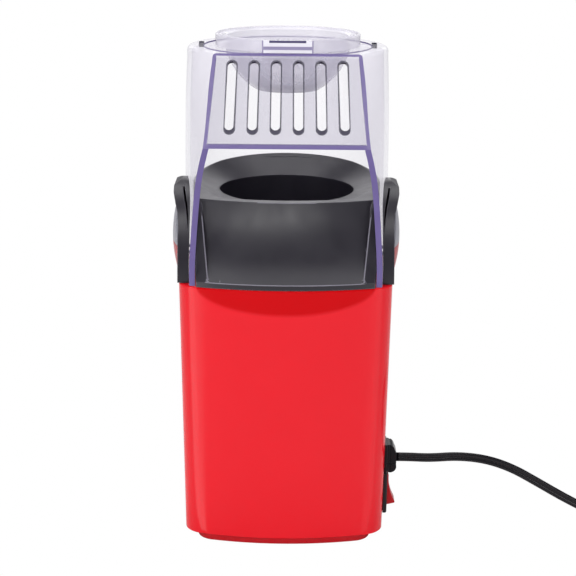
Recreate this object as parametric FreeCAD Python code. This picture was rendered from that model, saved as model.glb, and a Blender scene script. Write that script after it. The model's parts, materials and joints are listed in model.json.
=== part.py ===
import FreeCAD, Part
import math
import os

V = FreeCAD.Vector

# Hot-air popcorn maker, in millimetres, +Z up, front towards -Y.
# Every piece is drawn about the popping chamber's axis (x = 0, y = 0) with the table at z = 0,
# and moved AXIS_Y back when it is written, so that the origin is the middle of the footprint.

# ---- driving dimensions -------------------------------------------------------------------------
TOTAL_H = 290.0          # table to the rim of the measuring cup
AXIS_Y = 9.3             # the chamber axis lies this far behind the middle of the footprint
RIM_Z = 157.0            # top of the red housing
SKIRT_Z = 4.0            # lower edge of the red housing
ROOF_Z = 283.0           # top of the clear cover

FRONT_ARC = 190.0        # the front of housing and chute is a shallow arc
TOP_HALF, TOP_FRONT = 60.4, -79.0        # housing half-width and front at the rim
LOW_HALF, LOW_FRONT = 58.5, -73.4        # the same at the lower edge
CORNER = 13.0            # radius of the housing's front corners
WALL = 2.2               # plastic wall
DECK = 2.2               # thickness of the housing's top deck

HOLE_R = 40.0            # popping hole in the chute
HOLE_Z = 198.0           # level of that hole
BACK_Z = 211.0           # top of the chute 62 mm behind the axis
CHUTE_BACK_R = 55.6      # round back of the chute
CHUTE_LIP_HALF = 49.7    # half-width of the chute's lip
RIDGE_Y, RIDGE_Z = -47.0, 199.2          # middle of the ridge between the hole and the slide
LIP_TOP = 160.0          # top of the lip at the middle

COVER_T = 2.6            # clear plastic wall
PANEL_FOOT_Y, PANEL_FOOT_Z = -73.0, 235.0   # lower edge of the sloping front panel
PANEL_TOP_Y = -45.0      # its upper edge, at the roof
ROOF_HOLE_R = 38.2       # opening in the roof that the cup hangs in

CHAMBER_R = 39.2         # inside radius of the popping chamber
CHAMBER_TOP, CHAMBER_FLOOR = 170.0, 98.0
FLANGE_R = 46.0          # outer edge of the chamber's flange

SLEEVE_R = 45.0          # outside radius of the hot-air sleeve
SLEEVE_T = 0.8
FAN_Z = 44.0             # underside of the fan housing
SHAFT_R = 1.1

SWITCH_Y, SWITCH_Z = -47.0, 24.7         # middle of the rocker switch, in the right wall
SWITCH_X = 58.95         # seat of the switch's flange on the right wall
ROCKER_TILT = 13.0       # degrees from the switch's middle to either end of its travel
PIVOT_X = SWITCH_X - 3.0                 # rocker's pivot, just inside the wall

CORD_D = 5.5             # width of the flat flex
CORD_EXIT = V(66.4, SWITCH_Y, 45.2)
COIL_CENTRE = V(235.0, -2.25, 0.0)
COIL_MID_R = 31.0        # middle of the turns

os.makedirs("parts", exist_ok=True)


# ---- drawing helpers ----------------------------------------------------------------------------
def save(node, *solids):
    """Write one node: a solid, or a group of separate solids, moved to the part's own origin."""
    shape = solids[0].copy() if len(solids) == 1 else Part.makeCompound([s.copy() for s in solids])
    shape.translate(V(0, AXIS_Y, 0))
    bad = [s for s in shape.Solids if not s.isValid() or s.Volume < 0.05]
    if bad or not shape.Solids:
        print("CHECK", node, "has", len(bad), "bad solids of", len(shape.Solids))
    shape.exportStep(f"parts/{node}.step")


def line(a, b):
    return Part.LineSegment(a, b).toShape()


def arc(a, b, c):
    return Part.Arc(a, b, c).toShape()


def box(x0, x1, y0, y1, z0, z1):
    return Part.makeBox(x1 - x0, y1 - y0, z1 - z0, V(x0, y0, z0))


def rod(r, foot, length, direction=V(0, 0, 1)):
    return Part.makeCylinder(r, length, foot, direction)


def tube(r_out, r_in, z0, z1):
    ring = rod(r_out, V(0, 0, z0), z1 - z0)
    return ring.cut(rod(r_in, V(0, 0, z0 - 1), z1 - z0 + 2))


def solid_between(wire, rise):
    return Part.Face(wire).extrude(rise)


def polygon(points):
    return Part.makePolygon(points + [points[0]])


def turned(points):
    """Turn a closed outline of (radius, height) points about the chamber axis."""
    outline = polygon([V(r, 0, z) for r, z in points])
    return Part.Face(outline).revolve(V(0, 0, 0), V(0, 0, 1), 360)


def fused(shapes):
    whole = shapes[0]
    if len(shapes) > 1:
        whole = whole.fuse(shapes[1:])
    return whole.removeSplitter()


def largest(shape):
    return max(shape.Solids, key=lambda s: s.Volume)


def mirrored(shape):
    return shape.mirror(V(0, 0, 0), V(1, 0, 0))


def ring_of(shape, count, start=0.0):
    """Copies of a shape, evenly spaced about the chamber axis."""
    copies = []
    for i in range(count):
        copy = shape.copy()
        copy.rotate(V(0, 0, 0), V(0, 0, 1), start + 360.0 * i / count)
        copies.append(copy)
    return copies


def eased(shape, radius, pick):
    """Round the edges that pick(edge) chooses, or say so and leave them sharp."""
    edges = [e for e in shape.Edges if pick(e)]
    try:
        rounded = shape.makeFillet(radius, edges)
        if rounded.isValid() and rounded.Volume > 0:
            return rounded
    except Exception:
        pass
    print("left sharp:", len(edges), "edges at radius", radius)
    return shape


def screw(head_r, head_h, shank_r, length, seat, drive):
    """A pan-head screw whose head rests on seat; drive is the way its tip points."""
    head = rod(head_r, seat - drive * head_h, head_h, drive)
    shank = rod(shank_r, seat, length, drive)
    slot_a = box(-head_r * 0.6, head_r * 0.6, -0.35, 0.35, -0.6, 0.6)
    slot_b = box(-0.35, 0.35, -head_r * 0.6, head_r * 0.6, -0.6, 0.6)
    cross = slot_a.fuse(slot_b)
    turn = FreeCAD.Rotation(V(0, 0, 1), drive)
    cross.Placement = FreeCAD.Placement(seat - drive * head_h, turn)
    return head.fuse(shank).cut(cross)


# ---- plan outlines ------------------------------------------------------------------------------
def arc_front_plan(half, front, corner, z, inset=0.0):
    """Plan with a shallow arc in front, rounded corners, straight sides and a round back."""
    w = half - inset
    f = front + inset
    r_front = FRONT_ARC - inset
    c = corner - inset
    centre_y = f + r_front
    corner_y = centre_y - math.sqrt((r_front - c) ** 2 - (w - c) ** 2)
    lean = math.atan2(corner_y - centre_y, w - c)
    t1 = V(r_front * math.cos(lean), centre_y + r_front * math.sin(lean), z)
    mid_a = lean / 2.0
    corner_mid = V(w - c + c * math.cos(mid_a), corner_y + c * math.sin(mid_a), z)
    t2 = V(w, corner_y, z)
    side = V(w, 0, z)
    right = [t1, corner_mid, t2, side]
    left = [V(-p.x, p.y, z) for p in right]
    return Part.Wire([
        arc(left[0], V(0, f, z), t1),
        arc(t1, corner_mid, t2),
        line(t2, side),
        arc(side, V(0, w, z), left[3]),
        line(left[3], left[2]),
        arc(left[2], left[1], left[0]),
    ])


def flank_angle(px, py, r):
    """Direction of the normal of the line through (px, py) that touches a circle of radius r."""
    return math.atan2(py, px) + math.acos(r / math.hypot(px, py))


def chute_plan(z, inset=0.0):
    """Arc lip in front, flanks that open towards the back, round back."""
    r_front = FRONT_ARC - inset
    centre_y = TOP_FRONT + FRONT_ARC
    lip_y = centre_y - math.sqrt(FRONT_ARC ** 2 - CHUTE_LIP_HALF ** 2)
    phi = flank_angle(CHUTE_LIP_HALF, lip_y, CHUTE_BACK_R)
    back_r = CHUTE_BACK_R - inset
    psi = phi - math.acos((back_r - math.sin(phi) * centre_y) / r_front)
    lip = V(r_front * math.cos(psi), centre_y + r_front * math.sin(psi), z)
    touch = V(back_r * math.cos(phi), back_r * math.sin(phi), z)
    lip_l = V(-lip.x, lip.y, z)
    touch_l = V(-touch.x, touch.y, z)
    return Part.Wire([
        arc(lip_l, V(0, TOP_FRONT + inset, z), lip),
        line(lip, touch),
        arc(touch, V(0, back_r, z), touch_l),
        line(touch_l, lip_l),
    ])


def cover_plan(z, edge_x, edge_y, back_r, inset=0.0):
    """Plan of the clear cover at one height; its front corner would be at (edge_x, edge_y)."""
    phi = flank_angle(edge_x, edge_y, back_r)
    r = back_r - inset
    touch = V(r * math.cos(phi), r * math.sin(phi), z)
    front_y = -90.0
    corner = V((r - front_y * math.sin(phi)) / math.cos(phi), front_y, z)
    corner_l = V(-corner.x, front_y, z)
    touch_l = V(-touch.x, touch.y, z)
    return Part.Wire([
        line(corner_l, corner),
        line(corner, touch),
        arc(touch, V(0, r, z), touch_l),
        line(touch_l, corner_l),
    ])


def wall_loft(inset, z0, z1):
    """Solid of the housing's plan, inset, between two heights on its taper."""
    def plan_at(z):
        k = (z - SKIRT_Z) / (RIM_Z - SKIRT_Z)
        half = LOW_HALF + k * (TOP_HALF - LOW_HALF)
        front = LOW_FRONT + k * (TOP_FRONT - LOW_FRONT)
        return arc_front_plan(half, front, CORNER, z, inset)
    return Part.makeLoft([plan_at(z0), plan_at(z1)], True, True)


# ---- red housing --------------------------------------------------------------------------------
CHUTE_SCREWS = [(46.4, -55.0), (-46.4, -55.0), (46.7, 20.0), (-46.7, 20.0)]
BASE_SCREWS = [(44.0, -32.0), (-44.0, -32.0), (41.5, 14.0), (-41.5, 14.0)]
BASE_TOP = 6.5           # top of the base plate, where the housing's posts stand
VENT_W, VENT_H, VENT_PITCH, VENT_COUNT = 3.2, 26.0, 7.4, 7
DECK_OPENING_INSET = 7.6


def build_housing():
    outer = wall_loft(0.0, SKIRT_Z, RIM_Z)
    outer = eased(outer, 0.9, lambda e: min(v.Z for v in e.Vertexes) > RIM_Z - 0.01)
    hollow = wall_loft(WALL, SKIRT_Z - 0.001, RIM_Z - DECK)
    posts = []
    for x, y in BASE_SCREWS:
        post = rod(3.6, V(x, y, BASE_TOP), 20.0)
        reach = 1.0 if x > 0 else -1.0
        rib = box(min(x, reach * 60), max(x, reach * 60), y - 0.9, y + 0.9, BASE_TOP, BASE_TOP + 18)
        posts += [post, rib]
    inside = fused(posts).common(outer)
    body = outer.cut(hollow).fuse(inside).removeSplitter()
    cuts = [solid_between(chute_plan(RIM_Z - DECK - 1, DECK_OPENING_INSET), V(0, 0, DECK + 2))]
    for x, y in CHUTE_SCREWS:
        cuts.append(rod(1.6, V(x, y, RIM_Z - DECK - 1), DECK + 2))
    for x, y in BASE_SCREWS:
        cuts.append(rod(1.25, V(x, y, BASE_TOP - 1), 15.0))
    cuts.append(box(40, 70, SWITCH_Y - 6.5, SWITCH_Y + 6.5, SWITCH_Z - 11.9, SWITCH_Z + 11.9))
    cuts.append(rod(4.2, V(40, SWITCH_Y, CORD_EXIT.z), 30, V(1, 0, 0)))
    for i in range(VENT_COUNT):
        x = (i - (VENT_COUNT - 1) / 2) * VENT_PITCH
        slot = box(x - VENT_W / 2, x + VENT_W / 2, 45, 70, 16, 16 + VENT_H)
        ends = [rod(VENT_W / 2, V(x, 45, z), 25, V(0, 1, 0)) for z in (16, 16 + VENT_H)]
        cuts.append(fused([slot] + ends))
    return body.cut(cuts)


# ---- base ---------------------------------------------------------------------------------------
BASE_HALF, BASE_FRONT, BASE_CORNER = 50.9, -73.0, 11.0
BASE_FLOOR = 4.4         # underside of the plate, inside its skirt
SKIRT_FOOT = 0.4         # the skirt clears the table by this much; the feet reach z = 0
FEET = [(37.0, -58.0), (-37.0, -58.0), (27.0, 30.0), (-27.0, 30.0)]
FAN_POST_R = 49.4        # circle of the posts that carry the fan housing
FAN_POST_ANGLE = 52.0
INTAKE_R = 27.0


def fan_post_places():
    places = []
    for sx in (1, -1):
        for sy in (1, -1):
            a = math.radians(FAN_POST_ANGLE)
            places.append((sx * FAN_POST_R * math.cos(a), sy * FAN_POST_R * math.sin(a)))
    return places


def build_base_plate():
    plate = wall_loft(WALL + 0.25, SKIRT_Z + 0.4, BASE_TOP)
    skirt_plan = arc_front_plan(BASE_HALF, BASE_FRONT, BASE_CORNER, SKIRT_FOOT)
    skirt = solid_between(skirt_plan, V(0, 0, SKIRT_Z - 0.05 - SKIRT_FOOT))
    neck_plan = arc_front_plan(BASE_HALF, BASE_FRONT, BASE_CORNER, SKIRT_Z - 0.1, 2.5)
    skirt = skirt.fuse(solid_between(neck_plan, V(0, 0, 0.6)))
    core_plan = arc_front_plan(BASE_HALF, BASE_FRONT, BASE_CORNER, SKIRT_FOOT - 1, 3.6)
    skirt = skirt.cut(solid_between(core_plan, V(0, 0, BASE_FLOOR - SKIRT_FOOT + 1)))
    back_notches = [box(s * 22 - 9, s * 22 + 9, 30, 60, SKIRT_FOOT - 1, SKIRT_Z - 0.8) for s in (-1, 1)]
    skirt = skirt.cut(back_notches)
    posts = [rod(3.4, V(x, y, BASE_TOP), FAN_Z - BASE_TOP) for x, y in fan_post_places()]
    stands = [rod(2.6, V(x, 38.0, BASE_TOP), 4.0) for x in (-10, 10)]
    body = fused([plate, skirt] + posts + stands)
    cuts = [rod(1.1, V(x, y, FAN_Z - 10), 12) for x, y in fan_post_places()]
    cuts += [rod(1.7, V(x, y, 0), 10) for x, y in BASE_SCREWS]
    cuts += [rod(2.0, V(x, y, 0), 10) for x, y in FEET]
    cuts += [rod(0.9, V(x, 38.0, BASE_TOP - 0.5), 6) for x in (-10, 10)]
    ring_step = 6.0
    for k in range(3):
        r_in = 8.0 + k * ring_step
        band = tube(r_in + 3.2, r_in, BASE_FLOOR - 1, BASE_TOP + 1)
        spoke = box(0, 40, -1.6, 1.6, BASE_FLOOR - 2, BASE_TOP + 2)
        cuts.append(band.cut(ring_of(spoke, 6)))
    return body.cut(cuts)


def build_feet():
    feet = []
    for x, y in FEET:
        pad = Part.makeCone(5.4, 6.4, BASE_FLOOR, V(x, y, 0))
        feet.append(pad.fuse(rod(2.0, V(x, y, BASE_FLOOR), 2.6)))
    return feet


# ---- black chute --------------------------------------------------------------------------------
SLIDE_TURN = 17.0        # half of the slide's turn in degrees: how deeply it is dished
CHUTE_T = 2.4


def slide_arc(sink=0.0, extend=0.0):
    """Three points of the slide's curve in the middle plane, sunk below its surface."""
    top = V(0, RIDGE_Y, RIDGE_Z)
    low = V(0, TOP_FRONT, LIP_TOP)
    chord = low - top
    half_turn = math.radians(SLIDE_TURN)
    radius = chord.Length / 2 / math.sin(half_turn)
    middle = (top + low) * 0.5
    outward = V(0, chord.z, -chord.y)
    outward.normalize()
    if outward.y > 0:
        outward = outward * -1
    centre = middle + outward * (radius * math.cos(half_turn))
    r = radius + sink
    aim = math.atan2(-outward.z, -outward.y)
    spread = half_turn + extend
    return [centre + V(0, math.cos(aim + s * spread), math.sin(aim + s * spread)) * r
            for s in (-1, 0, 1)]


def side_profile(sink=0.0):
    """Solid under the chute's top line, which rises from the ridge to the back."""
    start = V(-70, RIDGE_Y - 5.0, RIDGE_Z - sink)
    mid = V(-70, 5.0, 203.2 - sink)
    back = V(-70, 62.0, BACK_Z - sink)
    foot, nose = 100.0, V(-70, -90.0, RIDGE_Z - sink)
    wire = Part.Wire([
        arc(start, mid, back),
        line(back, V(-70, 62.0, foot)),
        line(V(-70, 62.0, foot), V(-70, -90.0, foot)),
        line(V(-70, -90.0, foot), nose),
        line(nose, start),
    ])
    return solid_between(wire, V(140, 0, 0))


ARC_CENTRE = V(0, TOP_FRONT + FRONT_ARC, 0)


def turned_front(wire):
    """Turn an outline in the middle plane about the centre of the front arc, to both sides."""
    turned_part = Part.Face(wire).revolve(ARC_CENTRE, V(0, 0, 1), 60)
    turned_part.rotate(ARC_CENTRE, V(0, 0, 1), -30)
    return turned_part


def above_slope(sink=0.0):
    """Everything in front of the ridge and above the straight slope down to the lip."""
    slope = (RIDGE_Z - LIP_TOP) / (RIDGE_Y - TOP_FRONT)
    over = V(0, RIDGE_Y + 2.0, RIDGE_Z - sink + slope * 2.0)
    nose = V(0, TOP_FRONT - 12.0, LIP_TOP - sink - slope * 12.0)
    return turned_front(polygon([over, nose, V(0, nose.y, 240), V(0, over.y, 240)]))


def above_slide(sink):
    """Everything in front of the ridge and above the hollow slide."""
    a, b, c = slide_arc(sink, math.radians(6.0))
    if a.z < c.z:
        a, c = c, a
    nose_y = c.y - 12
    return turned_front(Part.Wire([
        arc(a, b, c),
        line(c, V(0, nose_y, c.z + 1)),
        line(V(0, nose_y, c.z + 1), V(0, nose_y, a.z + 30)),
        line(V(0, nose_y, a.z + 30), V(0, a.y, a.z + 30)),
        line(V(0, a.y, a.z + 30), a),
    ]))


DISH_R = 57.0            # where the dish round the hole comes up to the chute's top line
DISH_RISE = 0.095        # slope of that circle, up towards the back
DISH_MID_Z = 204.3       # its level above the axis
RIDGE_T = 5.4            # thickness of the ridge's crest


def dish(sink=0.0):
    """Funnel from the hole's rim up to a circle that lies along the chute's top line."""
    low = Part.Circle(V(0, 0, HOLE_Z - sink), V(0, 0, 1), HOLE_R)
    high = Part.Circle(V(0, 0, DISH_MID_Z - sink), V(0, -DISH_RISE, 1), DISH_R)
    return Part.makeLoft([Part.Wire(low.toShape()), Part.Wire(high.toShape())], True, True)


CHAMBER_BOSS_R = 48.4    # circle of the chute's bosses for the chamber screws
SCOOP_BACK = (50.2, -30.0)       # half-width of the scoop behind the ridge, and where
SCOOP_FRONT = (39.7, -92.0)      # the same in front of the lip
SCOOP_EDGE_R = 0.6       # rounding of the edges round the scoop


def scoop_edge(e):
    """Whether an edge is an upper edge of the scoop: the ridge, one of its two sides, or the lip."""
    b = e.BoundBox
    far = max(abs(b.XMin), abs(b.XMax))
    if b.YMax > -30.0 or far > 50.5 or b.ZMin < LIP_TOP - 0.6:
        return False
    if b.XMin * b.XMax > 0:
        middle = e.valueAt((e.FirstParameter + e.LastParameter) / 2)
        return b.ZLength > 30 and middle.z > (b.ZMin + b.ZMax) / 2 - 2.0
    at_ridge = b.ZMin > RIDGE_Z - 1.0 and b.YMin < RIDGE_Y + 1.0
    return b.XLength > 70 and (at_ridge or b.YMin < TOP_FRONT + 2.5)


def build_chute():
    outer = solid_between(chute_plan(RIM_Z), V(0, 0, 60)).common(side_profile()).cut(above_slope())
    (back_half, back_y), (front_half, front_y) = SCOOP_BACK, SCOOP_FRONT
    trough = polygon([V(-back_half, back_y, 140), V(back_half, back_y, 140),
                      V(front_half, front_y, 140), V(-front_half, front_y, 140)])
    scoop = above_slide(0.0).common(solid_between(trough, V(0, 0, 100)))
    outer = outer.cut(scoop)
    crest = rod(ARC_CENTRE.y - RIDGE_Y - RIDGE_T, V(0, ARC_CENTRE.y, 150), 100)
    bowl = dish().common(crest)
    hole = rod(HOLE_R, V(0, 0, 100), 130)
    neck = rod(HOLE_R + CHUTE_T, V(0, 0, CHAMBER_TOP), 50)
    inner = solid_between(chute_plan(RIM_Z + 2.2, CHUTE_T), V(0, 0, 60))
    inner = inner.common(side_profile(CHUTE_T)).cut([above_slide(CHUTE_T), above_slope(CHUTE_T)])
    inner = inner.cut(dish(CHUTE_T))
    boss = rod(3.4, V(CHAMBER_BOSS_R, 0, CHAMBER_TOP), 40)
    inner = inner.cut([neck] + ring_of(boss, 4, 45.0))
    foot_bosses = [rod(3.3, V(x, y, RIM_Z), 16) for x, y in CHUTE_SCREWS]
    inner = inner.cut(foot_bosses)
    well = solid_between(chute_plan(RIM_Z - 1, DECK_OPENING_INSET + 1.7), V(0, 0, 5))
    body = outer.cut([inner, well, hole, bowl])
    skirt = solid_between(chute_plan(RIM_Z - 6.0, DECK_OPENING_INSET + 0.3), V(0, 0, 7.0))
    skirt = skirt.cut(solid_between(chute_plan(RIM_Z - 7.0, DECK_OPENING_INSET + 1.7), V(0, 0, 9.0)))
    body = body.fuse(skirt).removeSplitter()
    drills = [rod(1.2, V(x, y, RIM_Z - 1), 13) for x, y in CHUTE_SCREWS]
    drills += ring_of(rod(1.1, V(CHAMBER_BOSS_R, 0, CHAMBER_TOP - 1), 8), 4, 45.0)
    return eased(largest(body.cut(drills)), SCOOP_EDGE_R, scoop_edge)


# ---- clear cover --------------------------------------------------------------------------------
COVER_SECTIONS = [       # height, where the flank meets the front edge (x, y), back radius
    (157.0, 53.7, -70.8, 60.0),
    (186.6, 52.5, -71.6, 60.2),
    (209.0, 50.5, -72.2, 60.2),
    (222.0, 48.6, -72.6, 60.1),
    (PANEL_FOOT_Z, 45.5, -73.0, 59.9),
    (260.0, 43.3, -58.7, 59.2),
    (ROOF_Z, 41.2, -45.0, 58.4),
]
SLOT_COUNT = 6
SLOT_PITCH_TOP, SLOT_PITCH_LOW = 12.15, 12.65
SLOT_W = 4.9
SLOT_FROM, SLOT_TO = 0.195, 0.915         # share of the way from the panel's foot to the roof
WING_RIM_T = 3.2         # the wings are thicker along their front edges
COVER_FOOT = RIM_Z + 0.25


def cover_body(inset, z_top):
    wires = []
    for z, x, y, r in COVER_SECTIONS:
        wires.append(cover_plan(z, x, y, r, inset))
    body = Part.makeLoft(wires, True, False)
    return body.common(box(-80, 80, -95, 80, COVER_FOOT - (1 if inset else 0), z_top))


def front_region(back_by):
    """Everything behind the sloping panel and the front edges of the wings."""
    shift = V(-80, back_by, 0)
    slope = (PANEL_TOP_Y - PANEL_FOOT_Y) / (ROOF_Z - PANEL_FOOT_Z)
    points = [
        V(0, -70.8, 150), V(0, PANEL_FOOT_Y, PANEL_FOOT_Z),
        V(0, PANEL_FOOT_Y + slope * (300 - PANEL_FOOT_Z), 300), V(0, 90, 300), V(0, 90, 150),
    ]
    return solid_between(polygon([p + shift for p in points]), V(160, 0, 0))


def panel_point(x, s):
    """A point on the sloping panel, s of the way from its foot to the roof."""
    return V(x, PANEL_FOOT_Y + s * (PANEL_TOP_Y - PANEL_FOOT_Y),
             PANEL_FOOT_Z + s * (ROOF_Z - PANEL_FOOT_Z))


def slot_cutter(i):
    """One long rounded slot through the sloping panel; the slots fan out downwards."""
    k = i - (SLOT_COUNT - 1) / 2
    low = panel_point(k * SLOT_PITCH_LOW, SLOT_FROM)
    top = panel_point(k * SLOT_PITCH_TOP, SLOT_TO)
    along = (top - low)
    along.normalize()
    out = V(0, -(ROOF_Z - PANEL_FOOT_Z), PANEL_TOP_Y - PANEL_FOOT_Y)
    out.normalize()
    across = along.cross(out)
    r = SLOT_W / 2
    low_c, top_c = low + along * r, top - along * r
    deep = out * -12
    wire = Part.Wire([
        line(low_c + across * r, top_c + across * r),
        arc(top_c + across * r, top_c + along * r, top_c - across * r),
        line(top_c - across * r, low_c - across * r),
        arc(low_c - across * r, low_c - along * r, low_c + across * r),
    ])
    wire.translate(out * 6)
    return solid_between(wire, deep)


def build_cover():
    outer = cover_body(0.0, ROOF_Z).common(front_region(0.0))
    outer = eased(outer, 2.6, lambda e: min(v.Z for v in e.Vertexes) > ROOF_Z - 0.01
                  and e.BoundBox.YMax > -30)
    inner = cover_body(COVER_T, ROOF_Z - COVER_T).common(front_region(COVER_T))
    mouth = box(-80, 80, -95, -40, 140, PANEL_FOOT_Z)
    wing_cut = cover_body(WING_RIM_T, ROOF_Z).common(mouth)
    body = outer.cut([inner, wing_cut])
    recess = tube(49.0, 20.0, ROOF_Z - 0.8, ROOF_Z + 1).cut(box(-50, 50, -60, -42.4, 270, 290))
    roof_hole = rod(ROOF_HOLE_R, V(0, 0, ROOF_Z - 10), 20)
    peepholes = []
    for x in (-50.9, 50.9):
        hole = box(x - 1.5, x + 1.5, 9.5, 13.5, ROOF_Z - 5, ROOF_Z + 2)
        ends = [rod(1.5, V(x, y, ROOF_Z - 5), 7) for y in (9.5, 13.5)]
        peepholes.append(fused([hole] + ends))
    cuts = [recess, roof_hole] + peepholes + [slot_cutter(i) for i in range(SLOT_COUNT)]
    for sign in (1, -1):
        cuts += [rod(1.2, p, 12, V(sign, 0, 0)) for p in grip_screw_places(sign * 50)]
    return largest(body.cut(cuts))


# ---- side grips ---------------------------------------------------------------------------------
GRIP_Y, GRIP_HALF, GRIP_H = -30.0, 35.0, 53.5
GRIP_SCREWS = [(-52.0, 172.0), (-38.0, 172.0)]
BADGE_X, BADGE_R = 65.6, 75.0            # crest and curvature of the domed badge
FLANGE_T = 0.9           # thinnest part of the flange between the cover and the finger groove
HEAD_GAP = 0.30          # the flank slants across a screw's head by less than this


def grip_screw_places(x):
    return [V(x, y, z) for y, z in GRIP_SCREWS]


def arch(inset, x0, x1, foot=COVER_FOOT):
    """A half-ellipse standing on the rim, seen from the side, between two x planes."""
    ellipse = Part.Ellipse(V(0, 0, 0), GRIP_H - inset, GRIP_HALF - inset)
    edge = Part.Edge(ellipse)
    wire = Part.Wire([edge])
    wire.rotate(V(0, 0, 0), V(0, 1, 0), -90)
    wire.translate(V(x0, GRIP_Y, COVER_FOOT))
    whole = solid_between(wire, V(x1 - x0, 0, 0))
    return whole.common(box(x0 - 1, x1 + 1, -90, 60, foot, 300))


def build_right_grip():
    """D-shaped finger grip: an arched plate whose top leans out, with a flange on the cover."""
    front_y = GRIP_Y - GRIP_HALF
    depth = V(0, 2 * GRIP_HALF, 0)
    skin = [
        V(54.2, front_y, COVER_FOOT), V(60.9, front_y, COVER_FOOT), V(60.6, front_y, 188.0),
        V(61.1, front_y, 195.0), V(62.5, front_y, 200.0), V(63.8, front_y, 205.0),
        V(63.9, front_y, 207.9), V(59.0, front_y, 211.1), V(54.0, front_y, 209.4),
    ]
    body = solid_between(polygon(skin), depth).common(arch(0.0, 50, 70))
    clear = cover_body(-0.05, ROOF_Z)
    body = body.cut(clear)
    groove = polygon([
        V(57.8, front_y, 207.5), V(58.7, front_y, 207.5), V(58.0, front_y, 203.8),
        V(56.6, front_y, 198.3), V(55.7, front_y, 192.6), V(54.8, front_y, 184.0),
        V(54.2, front_y, 184.0), V(54.6, front_y, 192.6), V(55.4, front_y, 198.3),
        V(56.7, front_y, 203.8),
    ])
    finger = solid_between(groove, depth).cut(arch(9.0, 40, 80))
    finger = finger.cut(cover_body(-FLANGE_T, ROOF_Z))
    body = body.cut(finger)
    seat = arch(7.0, 60.0, 70, 161.0)
    seat = seat.common(box(60.1, 70, -90, 60, 150, 197.0))
    body = body.cut(seat)
    body = body.cut([rod(1.05, p, 9.4, V(1, 0, 0)) for p in grip_screw_places(50)])
    return largest(body)


def build_right_badge():
    """Plain domed plate in the grip's face, in two colours."""
    dome = arch(7.3, 60.15, BADGE_X, 161.3).common(box(60, 70, -90, 60, 150, 196.7))
    ball = Part.makeSphere(BADGE_R, V(BADGE_X - BADGE_R, GRIP_Y, 178.0))
    dome = dome.common(ball)
    split = 176.0
    upper = dome.common(box(55, 70, -90, 60, split + 0.05, 220))
    lower = dome.common(box(55, 70, -90, 60, 150, split - 0.05))
    return largest(upper), largest(lower)


def grip_screws(sign):
    screws = []
    for y, z in GRIP_SCREWS:
        wall = cover_inner_x(y, z)
        drive = V(sign, 0, 0)
        screws.append(screw(2.1, 0.7, 1.0, 4.2, V(sign * wall, y, z), drive))
    return screws


def cover_inner_x(y, z):
    """Inner face of the cover's flank at this place, found on the solid itself."""
    ray = line(V(0, y, z), V(80, y, z))
    hit = ray.common(INNER_COVER)
    return hit.BoundBox.XMax - HEAD_GAP


# ---- measuring cup ------------------------------------------------------------------------------
CUP_R = 42.0
BOWL_R = 37.3            # outside of the round bowl, whose middle is level with the rim
CUP_T = 1.9
CUP_SEAT = ROOF_Z + 0.25


def bowl_point(r, z):
    """The point of a sphere of radius r about the rim's middle, at height z."""
    return V(math.sqrt(r ** 2 - (TOTAL_H - z) ** 2), 0, z)


def build_cup():
    flat_z = 257.6
    inner_r = BOWL_R - CUP_T
    foot = bowl_point(BOWL_R, flat_z)
    under = bowl_point(BOWL_R, CUP_SEAT)
    floor = bowl_point(inner_r, flat_z + CUP_T)
    mouth = bowl_point(inner_r, TOTAL_H - 1.6)
    rim = [
        V(CUP_R, 0, CUP_SEAT), V(CUP_R, 0, TOTAL_H - 0.5), V(CUP_R - 0.5, 0, TOTAL_H),
        V(CUP_R - 1.4, 0, TOTAL_H), V(CUP_R - 1.9, 0, TOTAL_H - 1.1), V(CUP_R - 3.3, 0, TOTAL_H - 1.1),
        V(CUP_R - 3.8, 0, TOTAL_H - 0.3), V(CUP_R - 4.8, 0, TOTAL_H - 0.3),
    ]
    edges = [
        line(V(0, 0, flat_z), foot),
        arc(foot, bowl_point(BOWL_R, 268.0), under),
        line(under, rim[0]),
    ]
    edges += [line(a, b) for a, b in zip(rim, rim[1:])]
    edges += [
        line(rim[-1], mouth),
        arc(mouth, bowl_point(inner_r, 270.0), floor),
        line(floor, V(0, 0, flat_z + CUP_T)),
        line(V(0, 0, flat_z + CUP_T), V(0, 0, flat_z)),
    ]
    bowl = Part.Face(Part.Wire(edges)).revolve(V(0, 0, 0), V(0, 0, 1), 360)
    lug = box(-14.2, 14.2, -44.6, -38.6, CUP_SEAT, TOTAL_H)
    lug = eased(lug, 1.0, lambda e: abs(e.Vertexes[0].Z - e.Vertexes[-1].Z) > 3)
    pocket = box(-12.2, 12.2, -43.2, -42.2, ROOF_Z - 1, TOTAL_H - 2.4)
    lug = lug.cut(rod(CUP_R - 1.0, V(0, 0, ROOF_Z - 2), 12)).cut(pocket)
    return largest(bowl.fuse(lug).removeSplitter())


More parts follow.
